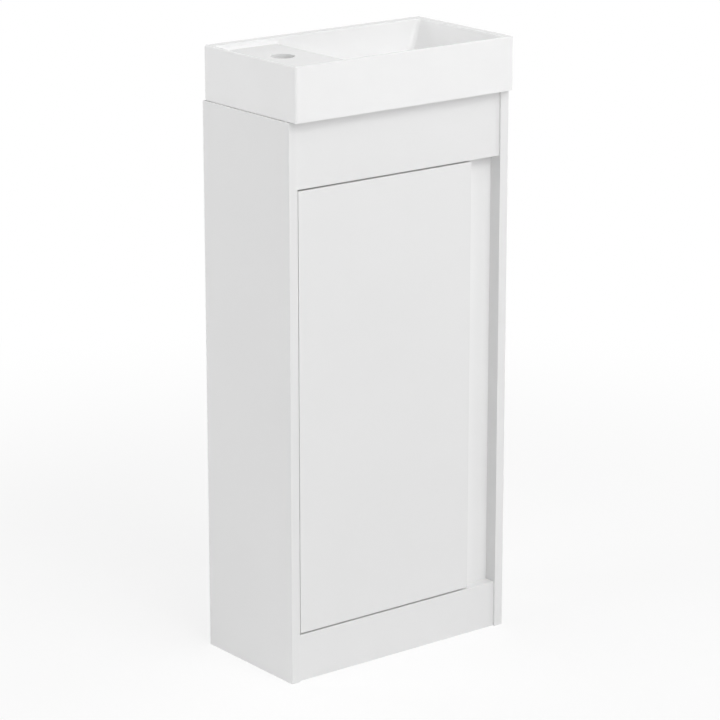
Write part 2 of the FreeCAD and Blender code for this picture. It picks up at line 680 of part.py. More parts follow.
def bowl_outline(sketch, left, right, front, back, corner):
    """The bowl in plan, anticlockwise from the front run.

    Each argument is a pair: the formula and its present value."""
    r = corner[1]
    runs = [
        ((left[1] + r, front[1]), (right[1] - r, front[1])),
        ((right[1] - r, front[1] + r), r, 270, 360, False),
        ((right[1], front[1] + r), (right[1], back[1] - r)),
        ((right[1] - r, back[1] - r), r, 0, 90, False),
        ((right[1] - r, back[1]), (left[1] + r, back[1])),
        ((left[1] + r, back[1] - r), r, 90, 180, False),
        ((left[1], back[1] - r), (left[1], front[1] + r)),
        ((left[1] + r, front[1] + r), r, 180, 270, False),
    ]
    chain(sketch, runs)
    for line in (0, 4):
        sketch.addConstraint(Sketcher.Constraint("Horizontal", line))
    for line in (2, 6):
        sketch.addConstraint(Sketcher.Constraint("Vertical", line))
    for arc in (3, 5, 7):
        sketch.addConstraint(Sketcher.Constraint("Equal", 1, arc))
    dimension(sketch, "DistanceX", (*ORIGIN_POINT, 2, START), "right_side", right[0], right[1])
    dimension(sketch, "DistanceX", (*ORIGIN_POINT, 6, START), "left_side", left[0], left[1])
    dimension(sketch, "DistanceY", (*ORIGIN_POINT, 0, START), "front_side", front[0], front[1])
    dimension(sketch, "DistanceY", (*ORIGIN_POINT, 4, START), "back_side", back[0], back[1])
    dimension(sketch, "Radius", (1,), "corner", corner[0], r)


def round_hole(body, name, start, diameter, height):
    """Takes an upright round hole out of a body, from the middle of its lower end."""
    hole = body.newObject("PartDesign::SubtractiveCylinder", name)
    bind(hole, "Radius", f"{diameter} / 2")
    bind(hole, "Height", height)
    bind_place(hole, start)
    return hole


def make_basin():
    """The ceramic basin: a box with a sunken tap deck at its left and a bowl at its right."""
    body = doc.addObject("PartDesign::Body", "basin")
    width = size["basin_width"]
    depth = size["cabinet_depth"] + size["basin_overhang"]
    rim_z = size["basin_height"]
    deck_z = rim_z - size["deck_drop"]
    floor_z = rim_z - size["bowl_depth"]

    def level_at(edge, z):
        return is_level(edge) and abs(edge.CenterOfMass.z - z) < NEAR

    outline = new_sketch(body, "basin_outline", "XY_Plane")
    rectangle(outline, ("-basin_width / 2", NOUGHT), ("basin_width", BASIN_DEPTH))
    blank = pad(body, "basin_blank", outline, "basin_height")
    round_edges(body, "basin_corners", blank, "basin_corner", is_upright)

    left = ("-basin_width / 2 + rim_left", -width / 2 + size["rim_left"])
    deck_end = (left[0] + " + deck_length", left[1] + size["deck_length"])
    right = ("basin_width / 2 - rim_right", width / 2 - size["rim_right"])
    front = ("rim_front", size["rim_front"])
    back = (f"{BASIN_DEPTH} - rim_back", depth - size["rim_back"])

    deck_plan = new_sketch(body, "deck_plan", "XY_Plane", "basin_height")
    deck_sides = ("deck_length + 2 * bowl_corner", f"{back[0]} - rim_front")
    rectangle(deck_plan, (left[0], front[0]), deck_sides)
    deck = pocket(body, "deck", deck_plan, "deck_drop")
    corners = round_edges(
        body,
        "deck_corners",
        deck,
        "deck_corner",
        lambda edge: is_upright(edge) and abs(edge.CenterOfMass.x - left[1]) < NEAR,
    )
    splay_edges(
        body,
        "deck_splays",
        corners,
        "deck_splay",
        lambda edge: level_at(edge, deck_z) and edge.CenterOfMass.x < deck_end[1],
    )

    floor_level = "(basin_height - bowl_depth)"
    floor_left = (f"{deck_end[0]} + bowl_deck_lean", deck_end[1] + size["bowl_deck_lean"])
    floor_right = (f"{right[0]} - bowl_end_lean", right[1] - size["bowl_end_lean"])
    rim_plan = new_sketch(body, "bowl_rim_plan", "XY_Plane", "basin_height")
    bowl_outline(rim_plan, deck_end, right, front, back, ("bowl_corner", size["bowl_corner"]))
    floor_plan = new_sketch(body, "bowl_floor_plan", "XY_Plane", floor_level)
    floor_corner = ("bowl_floor_corner", size["bowl_floor_corner"])
    bowl_outline(floor_plan, floor_left, floor_right, front, back, floor_corner)
    bowl = body.newObject("PartDesign::SubtractiveLoft", "bowl")
    bowl.Profile = rim_plan
    bowl.Sections = [floor_plan]
    bowl.Ruled = True
    floor_edges = round_edges(
        body, "bowl_floor_edges", bowl, "bowl_floor_round", lambda edge: level_at(edge, floor_z)
    )
    rim_edges = round_edges(
        body, "rim_edges", floor_edges, "rim_round", lambda edge: level_at(edge, rim_z)
    )
    round_edges(
        body,
        "deck_edge",
        rim_edges,
        "deck_edge_round",
        lambda edge: level_at(edge, deck_z) and edge.CenterOfMass.x > deck_end[1],
    )

    waste_x = f"({floor_left[0]} + {floor_right[0]}) / 2"
    waste_y = f"({front[0]} + {back[0]}) / 2"
    dish = body.newObject("PartDesign::SubtractiveCone", "bowl_dish")
    bind(dish, "Radius1", "waste_seat_diameter / 2")
    bind(dish, "Radius2", "dish_diameter / 2")
    bind(dish, "Height", "dish_drop")
    bind_place(dish, (waste_x, waste_y, f"{floor_level} - dish_drop"))
    seat_level = f"{floor_level} - dish_drop - waste_seat_drop"
    round_hole(body, "waste_seat", (waste_x, waste_y, seat_level), "waste_seat_diameter", "bowl_depth")
    round_hole(body, "waste_hole", (waste_x, waste_y, NOUGHT), "waste_diameter", "basin_height")

    hollow_plan = new_sketch(body, "deck_hollow_plan", "XY_Plane")
    hollow_sides = ("basin_hollow_length", f"{BASIN_DEPTH} - basin_foot_front - basin_foot_side")
    rectangle(hollow_plan, ("basin_foot_side - basin_width / 2", "basin_foot_front"), hollow_sides)
    hollow_height = "basin_height - deck_drop - deck_thickness"
    pocket(body, "deck_hollow", hollow_plan, hollow_height, True)
    tap_x = "tap_from_end - basin_width / 2"
    round_hole(body, "tap_hole", (tap_x, "tap_from_front", NOUGHT), "tap_diameter", "basin_height")
    bind_place(body, (NOUGHT, f"-{BASIN_DEPTH} / 2", BASIN_FOOT))
    finish(body, "basin")


def make_seal():
    """The bedding seal: a flat ring between the basin's foot and the cabinet's top edges."""
    half = "(basin_width / 2 - seal_margin)"
    front = f"({FACE} + seal_margin)"
    depth = f"({BACK} - seal_margin - {front})"
    outer = box("seal_outer", (f"-{half}", front, "cabinet_height"), (f"2 * {half}", depth, "seal_thickness"))
    inner = box(
        "seal_inner",
        (f"seal_width - {half}", f"{front} + seal_width", "cabinet_height"),
        (f"2 * ({half} - seal_width)", f"{depth} - 2 * seal_width", "seal_thickness"),
    )
    finish(cut("basin_seal", outer, [inner]), "basin_seal")


# Door, hinges and catch

def make_door():
    """The door, bored from behind for the hinge cups, their screws and the strike."""
    showing = ("left", "right", "top", "bottom")
    rounded = [("front", face) for face in showing] + [("back", "right")]
    sides = (DOOR_WIDTH, "door_thickness", DOOR_HEIGHT)
    door = Board("door", (DOOR_LEFT, FACE, DOOR_FOOT), sides, rounded)
    levels = list(HINGE_OFFSETS.values())
    cups = [(PIVOT_INSET, level) for level in levels]
    door.drill("back", cups, "cup_diameter + 2 * press_clearance", "cup_depth")
    screws = [(PIVOT_INSET, f"{level} {sign} cup_screw_spacing / 2") for level in levels for sign in "-+"]
    door.drill("back", screws, PRESSED_SCREW, "screw_length - cup_flange_thickness")
    strike = (f"{DOOR_WIDTH} - catch_inset", CATCH_HEIGHT)
    strike_bore = "strike_screw_diameter + 2 * press_clearance"
    door.drill("back", [strike], strike_bore, "strike_screw_length - strike_thickness")

    bumpers = []
    x = f"{DOOR_LEFT} + {DOOR_WIDTH} - bumper_inset"
    for level in ("bumper_end_distance", f"{DOOR_HEIGHT} - bumper_end_distance"):
        place = (x, DOOR_BACK, f"{DOOR_FOOT} + {level}")
        bumpers.append(cylinder("bumper", place, "bumper_diameter / 2", "bumper_thickness", "y"))
    group("door_bumpers", bumpers)


def hinge_cup(name, level):
    """The cup in the door, with a slot for the arm and a bore for the pin."""
    bottom = f"({DOOR_BACK} - cup_depth)"
    barrel = cylinder(f"cup_{name}_barrel", (PIVOT_X, bottom, level), "cup_diameter / 2", "cup_depth", "y")
    flange = box(
        f"cup_{name}_flange",
        (f"{PIVOT_X} - cup_flange_width / 2", DOOR_BACK, f"{level} - cup_flange_height / 2"),
        ("cup_flange_width", "cup_flange_thickness", "cup_flange_height"),
    )
    slot_height = "(arm_height + 2 * free_clearance)"
    slot = box(
        f"cup_{name}_slot",
        (f"{PIVOT_X} - cup_slot_width / 2", f"{bottom} + cup_floor", f"{level} - {slot_height} / 2"),
        ("cup_slot_width", "cup_depth + cup_flange_thickness", slot_height),
    )
    bore = cylinder(
        f"cup_{name}_bore",
        (PIVOT_X, PIVOT_Y, f"{level} - cup_diameter / 2"),
        "hinge_pin_diameter / 2 + press_clearance",
        "cup_diameter",
    )
    tools = [slot, bore]
    for sign in "-+":
        place = (PIVOT_X, DOOR_BACK, f"{level} {sign} cup_screw_spacing / 2")
        tools.append(cylinder(f"cup_{name}_hole", place, SCREW_BORE, "cup_flange_thickness", "y"))
    blank = joined(f"cup_{name}_blank", [barrel, flange])
    finish(cut(f"hinge_cup_{name}", blank, tools), f"hinge_cup_{name}")


def hinge_arm(name, level):
    """The swan-neck arm: an eye on the pin, a neck out of the cup, a cross run and a foot on the plate."""
    low = f"{level} - arm_height / 2"
    half = "arm_thickness / 2"
    run_y = f"({PIVOT_Y} + arm_swing_radius)"
    knee_x = f"({PIVOT_X} + arm_swing_radius)"
    heel_x = f"(plate_thickness + {half} - {INNER})"
    pin_end = (PIVOT_X, PIVOT_Y, low)
    bore_radius = "hinge_pin_diameter / 2 + running_clearance"
    eye = cylinder(f"arm_{name}_eye", pin_end, f"{bore_radius} + eye_wall", "arm_height")
    neck = box(
        f"arm_{name}_neck",
        (f"{PIVOT_X} + {half} * sqrt(0.5)", f"{PIVOT_Y} - {half} * sqrt(0.5)", low),
        ("arm_swing_radius * sqrt(2)", "arm_thickness", "arm_height"),
        45,
    )
    knee = cylinder(f"arm_{name}_knee", (knee_x, run_y, low), half, "arm_height")
    run = box(
        f"arm_{name}_run",
        (heel_x, f"{run_y} - {half}", low),
        (f"{knee_x} - {heel_x}", "arm_thickness", "arm_height"),
    )
    heel = cylinder(f"arm_{name}_heel", (heel_x, run_y, low), half, "arm_height")
    foot = box(
        f"arm_{name}_foot",
        (f"plate_thickness - {INNER}", run_y, low),
        ("arm_thickness", "arm_foot_length", "arm_height"),
    )
    bore = cylinder(f"arm_{name}_bore", pin_end, bore_radius, "arm_height")
    place = (f"plate_thickness - {INNER}", f"{PLATE_Y} + plate_length / 2", level)
    hole = cylinder(f"arm_{name}_hole", place, SCREW_BORE, "arm_thickness", "x")
    blank = joined(f"arm_{name}_blank", [eye, neck, knee, run, heel, foot])
    finish(cut(f"hinge_arm_{name}", blank, [bore, hole]), f"hinge_arm_{name}")


def hinge_plate(name, level):
    """The flat plate on the side panel that carries the arm."""
    plate = box(
        f"plate_{name}_blank",
        (f"-{INNER}", PLATE_Y, f"{level} - plate_height / 2"),
        ("plate_thickness", "plate_length", "plate_height"),
    )
    holes = []
    for step in ("- plate_screw_spacing / 2", "", "+ plate_screw_spacing / 2"):
        place = (f"-{INNER}", f"{PLATE_Y} + plate_length / 2", f"{level} {step}")
        holes.append(cylinder(f"plate_{name}_hole", place, SCREW_BORE, "plate_thickness", "x"))
    finish(cut(f"hinge_plate_{name}", plate, holes), f"hinge_plate_{name}")


def screw_master(name, length):
    """A pan-head screw with a cross recess, its head towards +Z and the head's seat at zero."""
    shank = cylinder(f"{name}_shank", (NOUGHT, NOUGHT, f"-({length})"), "screw_diameter / 2", length)
    head = cylinder(f"{name}_head", (NOUGHT, NOUGHT, NOUGHT), "screw_head_diameter / 2", "screw_head_height")
    level = "screw_head_height - screw_recess_depth"
    recess = cross_recess(name, "screw_recess_length", "screw_recess_width", "screw_recess_depth", level)
    return cut(f"{name}_master", joined(f"{name}_blank", [shank, head]), recess)


def make_hinges():
    """Two concealed single-pivot hinges and their screws."""
    plate_screws = []
    arm_screws = []
    cup_screws = []
    screw_y = f"{PLATE_Y} + plate_length / 2"
    for name, offset in HINGE_OFFSETS.items():
        level = f"({DOOR_FOOT} + {offset})"
        hinge_cup(name, level)
        hinge_arm(name, level)
        hinge_plate(name, level)
        place = (PIVOT_X, PIVOT_Y, f"{level} - hinge_pin_length / 2")
        pin = cylinder(f"hinge_pin_{name}", place, "hinge_pin_diameter / 2", "hinge_pin_length")
        finish(pin, f"hinge_pin_{name}")
        arm_screws.append(((f"plate_thickness + arm_thickness - {INNER}", screw_y, level), TURNS["x"]))
        for sign in "-+":
            on_plate = f"{level} {sign} plate_screw_spacing / 2"
            plate_screws.append(((f"plate_thickness - {INNER}", screw_y, on_plate), TURNS["x"]))
            on_cup = f"{level} {sign} cup_screw_spacing / 2"
            cup_screws.append(((PIVOT_X, f"{DOOR_BACK} + cup_flange_thickness", on_cup), TURNS["y"]))
    screw = screw_master("wood_screw", "screw_length")
    copies("hinge_plate_screws", screw, plate_screws)
    copies("hinge_cup_screws", screw, cup_screws)
    copies("hinge_arm_screws", screw_master("arm_screw", "arm_thickness + plate_thickness"), arm_screws)


def make_catch():
    """The magnet in its sleeve in the recess panel, and the strike plate and its screw on the door."""
    level = f"{DOOR_FOOT} + {CATCH_HEIGHT}"
    mouth = (CATCH_X, RECESS, level)
    outer = "magnet_diameter / 2 + sleeve_wall"
    blank = cylinder("sleeve_blank", mouth, outer, "magnet_length + sleeve_wall", "y")
    bore = cylinder("sleeve_bore", mouth, "magnet_diameter / 2 + press_clearance", "magnet_length", "y")
    finish(cut("catch_sleeve", blank, [bore]), "catch_sleeve")
    finish(cylinder("catch_magnet", mouth, "magnet_diameter / 2", "magnet_length", "y"), "catch_magnet")

    seat = (CATCH_X, DOOR_BACK, level)
    disc = cylinder("strike_blank", seat, "strike_diameter / 2", "strike_thickness", "y")
    sink = cone("strike_sink", seat, "press_clearance")
    finish(cut("catch_strike", disc, [sink]), "catch_strike")
    head = cone("strike_screw_head", seat, NOUGHT)
    shank_length = "(strike_screw_length - strike_thickness)"
    start = (CATCH_X, f"{DOOR_BACK} - {shank_length}", level)
    shank = cylinder("strike_screw_shank", start, "strike_screw_diameter / 2", shank_length, "y")
    finish(joined("catch_strike_screw", [head, shank]), "catch_strike_screw")


def check_document():
    """Stops if anything in the document failed, or if a piece has no sound solid."""
    doc.recompute()
    for thing in doc.Objects:
        if "Invalid" in thing.State or "Error" in thing.State:
            raise RuntimeError(f"{thing.Label} failed: {thing.State}")
    for piece in pieces:
        shape = piece.Shape
        if shape.isNull() or not shape.isValid() or not shape.Solids:
            raise RuntimeError(f"{piece.Label} has no sound solid")


def write_pieces():
    os.makedirs("parts", exist_ok=True)
    for piece in pieces:
        piece.Shape.exportStep(f"parts/{piece.Label}.step")
    print(len(pieces), "pieces written")


fill_sheet()
make_carcass_boards()
make_recess_panel()
make_shelf()
make_fittings()
make_basin()
make_seal()
make_door()
make_hinges()
make_catch()
check_document()
write_pieces()
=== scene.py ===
# %% [markdown]
# A freestanding vanity unit. The object is a narrow white cupboard with a ceramic basin on top of it,
# and one door that turns on two concealed hinges. Its solids, sizes and hinge axis come from a packed
# CAD model, which this script loads and never moves. Blender's work is the rest: the finish of every
# surface, the pieces whose surface needs more than the solids give, and the light and the camera.

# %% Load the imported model
import json
import math

import bmesh
import bpy
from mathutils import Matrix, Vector


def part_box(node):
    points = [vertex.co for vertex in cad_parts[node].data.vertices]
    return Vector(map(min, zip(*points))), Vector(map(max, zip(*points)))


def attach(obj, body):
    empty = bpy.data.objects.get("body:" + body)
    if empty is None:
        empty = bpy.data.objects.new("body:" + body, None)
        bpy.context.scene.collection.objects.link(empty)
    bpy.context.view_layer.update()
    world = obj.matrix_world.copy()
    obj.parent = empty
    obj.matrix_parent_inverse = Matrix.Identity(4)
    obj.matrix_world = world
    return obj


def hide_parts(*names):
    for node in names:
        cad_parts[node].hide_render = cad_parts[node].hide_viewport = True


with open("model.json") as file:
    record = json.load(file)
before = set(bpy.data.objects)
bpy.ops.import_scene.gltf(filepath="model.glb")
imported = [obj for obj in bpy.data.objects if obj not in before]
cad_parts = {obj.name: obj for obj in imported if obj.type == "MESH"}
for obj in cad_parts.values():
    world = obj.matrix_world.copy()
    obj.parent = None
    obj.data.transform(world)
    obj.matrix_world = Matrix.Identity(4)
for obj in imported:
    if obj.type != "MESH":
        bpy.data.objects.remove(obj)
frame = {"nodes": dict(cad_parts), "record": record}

scene = bpy.context.scene
nodes = frame["nodes"]
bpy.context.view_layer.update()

# %% [markdown]
# Shaders work with linear light, but colours are usually read from a screen as sRGB hex values, so one
# function turns the second into the first. Another adds a node to a tree with its settings, its
# constant sockets and its links in one line, which keeps the materials below short enough to read as
# recipes. Sizes are real millimetres, and a pattern's scale is one divided by its size in metres,
# because the materials read object coordinates and every object here sits at the origin, in metres.

# %% Helpers for colours, nodes and materials
MM = 0.001


def linear(hex_colour):
    """An sRGB hex colour as linear RGBA."""
    parts = [int(hex_colour[place:place + 2], 16) / 255 for place in (1, 3, 5)]
    return (*[c / 12.92 if c <= 0.04045 else ((c + 0.055) / 1.055) ** 2.4 for c in parts], 1.0)


def per_metre(size_mm):
    """The texture scale at which one cell of a pattern has this size."""
    return 1 / (size_mm * MM)


def add_node(tree, kind, sockets=None, links=None, **settings):
    """Adds a node: its own settings, its constant sockets, and the outputs that feed its other sockets."""
    node = tree.nodes.new(kind)
    for name, value in settings.items():
        setattr(node, name, value)
    for name, value in (sockets or {}).items():
        node.inputs[name].default_value = value
    for name, output in (links or {}).items():
        tree.links.new(output, node.inputs[name])
    return node


def new_material(name):
    """An empty material, with its tree and its object coordinates."""
    material = bpy.data.materials.new(name)
    material.use_nodes = True
    tree = material.node_tree
    tree.nodes.clear()
    place = add_node(tree, "ShaderNodeTexCoord").outputs["Object"]
    return material, tree, place


# %% [markdown]
# No real surface has one colour and one shine all over. So every finish here has two tones and two
# roughnesses, close to each other, and a pattern that mixes them from place to place, with a bump on
# top. What differs from finish to finish is only the pattern and the values, so the end of the recipe
# is written once.

# %% The end of every recipe
def add_surface(tree, tones, tone_pattern, roughness, shine_pattern, normal, **constants):
    """Adds the surface shader, with its tones and roughnesses mixed by their patterns, and the output."""
    tone = add_node(tree, "ShaderNodeValToRGB", links={"Fac": tone_pattern})
    for stop, colour in zip(tone.color_ramp.elements, tones):
        stop.color = linear(colour)
    shine = add_node(
        tree,
        "ShaderNodeMapRange",
        {"To Min": roughness[0], "To Max": roughness[1]},
        {"Value": shine_pattern},
    )
    surface = add_node(
        tree,
        "ShaderNodeBsdfPrincipled",
        constants,
        {"Base Color": tone.outputs["Color"], "Roughness": shine.outputs["Result"], "Normal": normal},
    )
    add_node(tree, "ShaderNodeOutputMaterial", links={"Surface": surface.outputs["BSDF"]})


# %% [markdown]
# The cabinet is fibreboard with a sprayed satin lacquer, which the eye reads as a soft, even white with
# a broad sheen. Sprayed lacquer is never quite even: its film dries into a fine orange peel, and its
# sheen drifts a little over the width of a board. An image of that would repeat, so noise at those two
# sizes does it. The peel is about 1.5 mm on the real thing, which is finer than a pixel from where the
# camera stands, so it is drawn at 4 mm and kept very shallow. The board behind the finger recess gets
# the same recipe with two lighter tones, which are painted light: the light that bounces into the recess.

# %% Satin lacquer on fibreboard
PEEL_MM = 4
PEEL_DEPTH = 0.1 * MM
PEEL_STRENGTH = 0.05
DRIFT_MM = 180
SATIN_ROUGHNESS = (0.36, 0.46)
LACQUER_IOR = 1.48


def satin_board(name, dark, light):
    material, tree, place = new_material(name)
    drift = add_node(
        tree, "ShaderNodeTexNoise", {"Scale": per_metre(DRIFT_MM), "Detail": 2.0}, {"Vector": place}
    ).outputs["Fac"]
    peel = add_node(
        tree, "ShaderNodeTexNoise", {"Scale": per_metre(PEEL_MM), "Detail": 1.0}, {"Vector": place}
    ).outputs["Fac"]
    bump = add_node(
        tree, "ShaderNodeBump", {"Strength": PEEL_STRENGTH, "Distance": PEEL_DEPTH}, {"Height": peel}
    ).outputs["Normal"]
    add_surface(tree, (dark, light), drift, SATIN_ROUGHNESS, drift, bump, IOR=LACQUER_IOR)
    return material


lacquer = satin_board("satin_white_lacquer", "#E8E8E8", "#EBEBEB")
# The recess board's lighter tones are painted light, standing in for light bounced into the recess.
recess_painted_light_lacquer = satin_board("satin_white_recess_painted_light", "#F0F0F0", "#F3F3F3")
print("made", lacquer.name, "and", recess_painted_light_lacquer.name)

# %% [markdown]
# The basin is vitreous china under a clear-white glaze. A glaze is a thin layer of glass, so it has a
# sharp reflection with the strength that glass has, over a body that scatters light. It melts and flows
# in the kiln, so that flat faces come out with long, faint waves, and those waves are what makes a
# reflection look ceramic rather than plastic. Two sizes of noise give the waves and the slight pitting.

# %% White glaze on vitreous china
WAVE_MM = 55
WAVE_DEPTH = 0.6 * MM
WAVE_STRENGTH = 0.12
PIT_MM = 6
PIT_DEPTH = 0.1 * MM
PIT_STRENGTH = 0.02
GLAZE_ROUGHNESS = (0.10, 0.18)
GLAZE_IOR = 1.52


def white_glaze(name, dark, light):
    material, tree, place = new_material(name)
    wave = add_node(
        tree, "ShaderNodeTexNoise", {"Scale": per_metre(WAVE_MM), "Detail": 1.0}, {"Vector": place}
    ).outputs["Fac"]
    pits = add_node(
        tree, "ShaderNodeTexNoise", {"Scale": per_metre(PIT_MM), "Detail": 2.0}, {"Vector": place}
    ).outputs["Fac"]
    waved = add_node(
        tree, "ShaderNodeBump", {"Strength": WAVE_STRENGTH, "Distance": WAVE_DEPTH}, {"Height": wave}
    ).outputs["Normal"]
    bump = add_node(
        tree,
        "ShaderNodeBump",
        {"Strength": PIT_STRENGTH, "Distance": PIT_DEPTH},
        {"Height": pits, "Normal": waved},
    ).outputs["Normal"]
    add_surface(tree, (dark, light), wave, GLAZE_ROUGHNESS, pits, bump, IOR=GLAZE_IOR)
    return material


glaze = white_glaze("white_glazed_china", "#F1F1F1", "#F4F4F4")
print("made", glaze.name)

# %% [markdown]
# The hinges, screws and cam fittings are metal, most of it plated. Rolled steel keeps faint lines from
# the rolling mill, and a die-cast housing has a grain instead. One recipe covers both: noise with a
# size along each axis, long in one of them for lines and equal in all three for grain, which changes
# how rough the metal is from place to place. A metal's colour is the colour of its reflection, so it
# goes in as the base colour with the metallic value at one.

# %% Plated and cast metals
ROLLED_LINES_MM = (0.8, 0.8, 11.2)
CAST_GRAIN_MM = (1.2, 1.2, 1.2)
GRAIN_DEPTH = 0.05 * MM
METAL = {"spread": 0.08, "detail": 3.0, "strength": 0.15, "Metallic": 1.0}


def grained(name, dark, light, roughness, grain_mm, spread, detail, strength, **constants):
    """A finish with one grain: its size along each axis, and how far it spreads the roughness both ways."""
    material, tree, place = new_material(name)
    scale = tuple(per_metre(size) for size in grain_mm)
    scaled = add_node(tree, "ShaderNodeMapping", {"Scale": scale}, {"Vector": place}).outputs["Vector"]
    grain = add_node(
        tree, "ShaderNodeTexNoise", {"Scale": 1.0, "Detail": detail}, {"Vector": scaled}
    ).outputs["Fac"]
    bump = add_node(
        tree, "ShaderNodeBump", {"Strength": strength, "Distance": GRAIN_DEPTH}, {"Height": grain}
    ).outputs["Normal"]
    limits = (roughness - spread, roughness + spread)
    add_surface(tree, (dark, light), grain, limits, grain, bump, **constants)
    return material


zinc_plate = grained("zinc_plated_steel", "#B4B8BC", "#CDD0D3", 0.30, ROLLED_LINES_MM, **METAL)
nickel_plate = grained("nickel_plated_casting", "#C2BDB4", "#D8D3CA", 0.24, CAST_GRAIN_MM, **METAL)
zinc_casting = grained("die_cast_zinc", "#A3A6A9", "#BBBEC1", 0.42, CAST_GRAIN_MM, **METAL)
magnet_plate = grained("nickel_plated_iron", "#BEB9B0", "#D2CDC4", 0.20, CAST_GRAIN_MM, **METAL)
print("made", [m.name for m in (zinc_plate, nickel_plate, zinc_casting, magnet_plate)])

# %% [markdown]
# The last finishes are small ones. Dowels are fluted beech, which shows as fine brown lines along the
# peg. The bedding seal, the bumpers and the catch's sleeve are moulded and squeezed soft goods: a plain
# pale body with a fine texture from the mould. The metals' recipe serves them too, without the metallic
# value and with each material's own index of refraction, and the wood's grain is long in the dowel's
# direction.

# %% Beech, silicone, rubber and moulded plastic
BEECH_FIBRE_MM = (10.8, 0.9, 0.9)
MOULD_GRAIN_MM = (0.7, 0.7, 0.7)
DULL = {"spread": 0.06, "detail": 4.0, "strength": 0.2}

beech = grained("beech_wood", "#B98D5F", "#DDB98B", 0.62, BEECH_FIBRE_MM, IOR=1.50, **DULL)
silicone = grained("white_silicone_seal", "#E3E3E3", "#EAEAEA", 0.42, MOULD_GRAIN_MM, IOR=1.41, **DULL)
clear_rubber = grained("pale_rubber", "#D2D2D0", "#DEDEDC", 0.48, MOULD_GRAIN_MM, IOR=1.52, **DULL)
plastic = grained("white_moulded_plastic", "#E6E6E6", "#ECECEC", 0.45, MOULD_GRAIN_MM, IOR=1.49, **DULL)
print("made", [m.name for m in (beech, silicone, clear_rubber, plastic)])

# %% [markdown]
# The record says which material slot each CAD node uses, so one table from slot to finish dresses the
# whole model, and the recess board's lighter finish, which is painted light from the bounce in the recess,
# is the one exception. A node whose shape is right stays as it is and only gets its finish.

# %% Give each CAD node its finish
FINISHES = {
    "white_board": lacquer,
    "white_ceramic": glaze,
    "white_silicone": silicone,
    "clear_rubber": clear_rubber,
    "beech": beech,
    "zinc_alloy": zinc_casting,
    "white_plastic": plastic,
    "plated_steel": zinc_plate,
    "nickel_plated_zinc": nickel_plate,
    "nickel_plated_magnet": magnet_plate,
}
slot_of = {row["node"]: row["material_slot"] for row in frame["record"]["subparts"]}
for name, node in nodes.items():
    node.data.materials.clear()
    node.data.materials.append(FINISHES[slot_of[name]])
# Painted light: the recess board gets the lighter lacquer in place of light bounced into the recess.
nodes["handle_recess_panel"].data.materials[0] = recess_painted_light_lacquer
print("dressed", len(nodes), "nodes from", len(set(slot_of.values())), "slots")

# %% [markdown]
# The basin's solid has the right shape, but a CAD mesh is loose triangles with normals of their own,
# and under a glossy glaze their joints would show. Modelling the basin again would risk another shape,
# so a copy of the mesh is cleaned instead: its corners are merged, the triangles of each flat face are
# joined into one face, and the carried normals are dropped, so that Blender works out its own. The
# edges that are really sharp stay sharp, by their angle, and weighting each normal by the size of its
# faces keeps the flat faces flat up to where their rounded edges begin.

# %% A smooth copy of the basin
MERGE_DISTANCE = 0.002 * MM
FLAT_ANGLE = math.radians(0.02)
SHARP_ANGLE = math.radians(38)


def new_piece(name, mesh):
    piece = bpy.data.objects.new(name, mesh)
    scene.collection.objects.link(piece)
    return piece


def smooth_copy(node_name, piece_name):
    """A merged and smoothly shaded copy of a CAD node, as a new object."""
    mesh = nodes[node_name].data.copy()
    mesh.name = piece_name
    work = bmesh.new()
    work.from_mesh(mesh)
    bmesh.ops.remove_doubles(work, verts=work.verts, dist=MERGE_DISTANCE)
    bmesh.ops.dissolve_limit(work, angle_limit=FLAT_ANGLE, verts=work.verts, edges=work.edges)
    work.to_mesh(mesh)
    work.free()
    mesh.attributes.remove(mesh.attributes["custom_normal"])
    mesh.shade_smooth()
    mesh.set_sharp_from_angle(angle=SHARP_ANGLE)
    piece = new_piece(piece_name, mesh)
    weighted = piece.modifiers.new("flat_faces_stay_flat", "WEIGHTED_NORMAL")
    weighted.keep_sharp = True
    return piece


basin = smooth_copy("basin", "glazed_basin")
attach(basin, "cabinet")
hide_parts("basin")
print("basin has", len(basin.data.polygons), "faces")

# %% [markdown]
# The hinge screws are pan heads with a cross recess, which the solids leave out. A stock cylinder would
# have no crown, so a half outline is spun round the axis, as the real head is turned, and the recess is
# cut by two crossed, tapered blades with a boolean, as the screwdriver's tip would fill it.

# %% One pan-head screw
HEAD_RADIUS = 3.25 * MM
HEAD_HEIGHT = 2.0 * MM
HEAD_SEGMENTS = 32
FOOT_RADIUS = 3.12 * MM
FOOT_HEIGHT = 0.15 * MM
CROWN_RADIUS = 1.25 * MM
CROWN_RISE = 1.2 * MM
CROWN_STEPS = 7
RECESS_LENGTH = 4.0 * MM
RECESS_WIDTH = 1.0 * MM
RECESS_DEPTH = 1.3 * MM
RECESS_FLOOR_SHARE = 0.55
RECESS_MOUTH_SHARE = 1.05
BLADE_OVERRUN = 0.2 * MM
CORNERS = ((-1, -1), (1, -1), (1, 1), (-1, 1))


def head_outline():
    """Half the head's section, from the rim's foot to the edge of its flat top."""
    shoulder = HEAD_HEIGHT - CROWN_RADIUS
    points = [(FOOT_RADIUS, 0.0), (HEAD_RADIUS, FOOT_HEIGHT), (HEAD_RADIUS, shoulder)]
    for step in range(1, CROWN_STEPS + 1):
        angle = math.radians(90) * step / CROWN_STEPS
        radius = HEAD_RADIUS - CROWN_RADIUS + CROWN_RADIUS * math.cos(angle)
        points.append((radius, shoulder + CROWN_RISE * math.sin(angle)))
    return points


def closed_stack(name, rings):
    """A closed piece through rings of points, each with as many points, from the lowest to the highest."""
    work = bmesh.new()
    levels = [[work.verts.new(point) for point in ring] for ring in rings]
    for lower, upper in zip(levels, levels[1:]):
        for here in range(len(lower)):
            after = (here + 1) % len(lower)
            work.faces.new((lower[here], lower[after], upper[after], upper[here]))
    work.faces.new(levels[-1])
    work.faces.new(list(reversed(levels[0])))
    mesh = bpy.data.meshes.new(name)
    work.to_mesh(mesh)
    work.free()
    return new_piece(name, mesh)


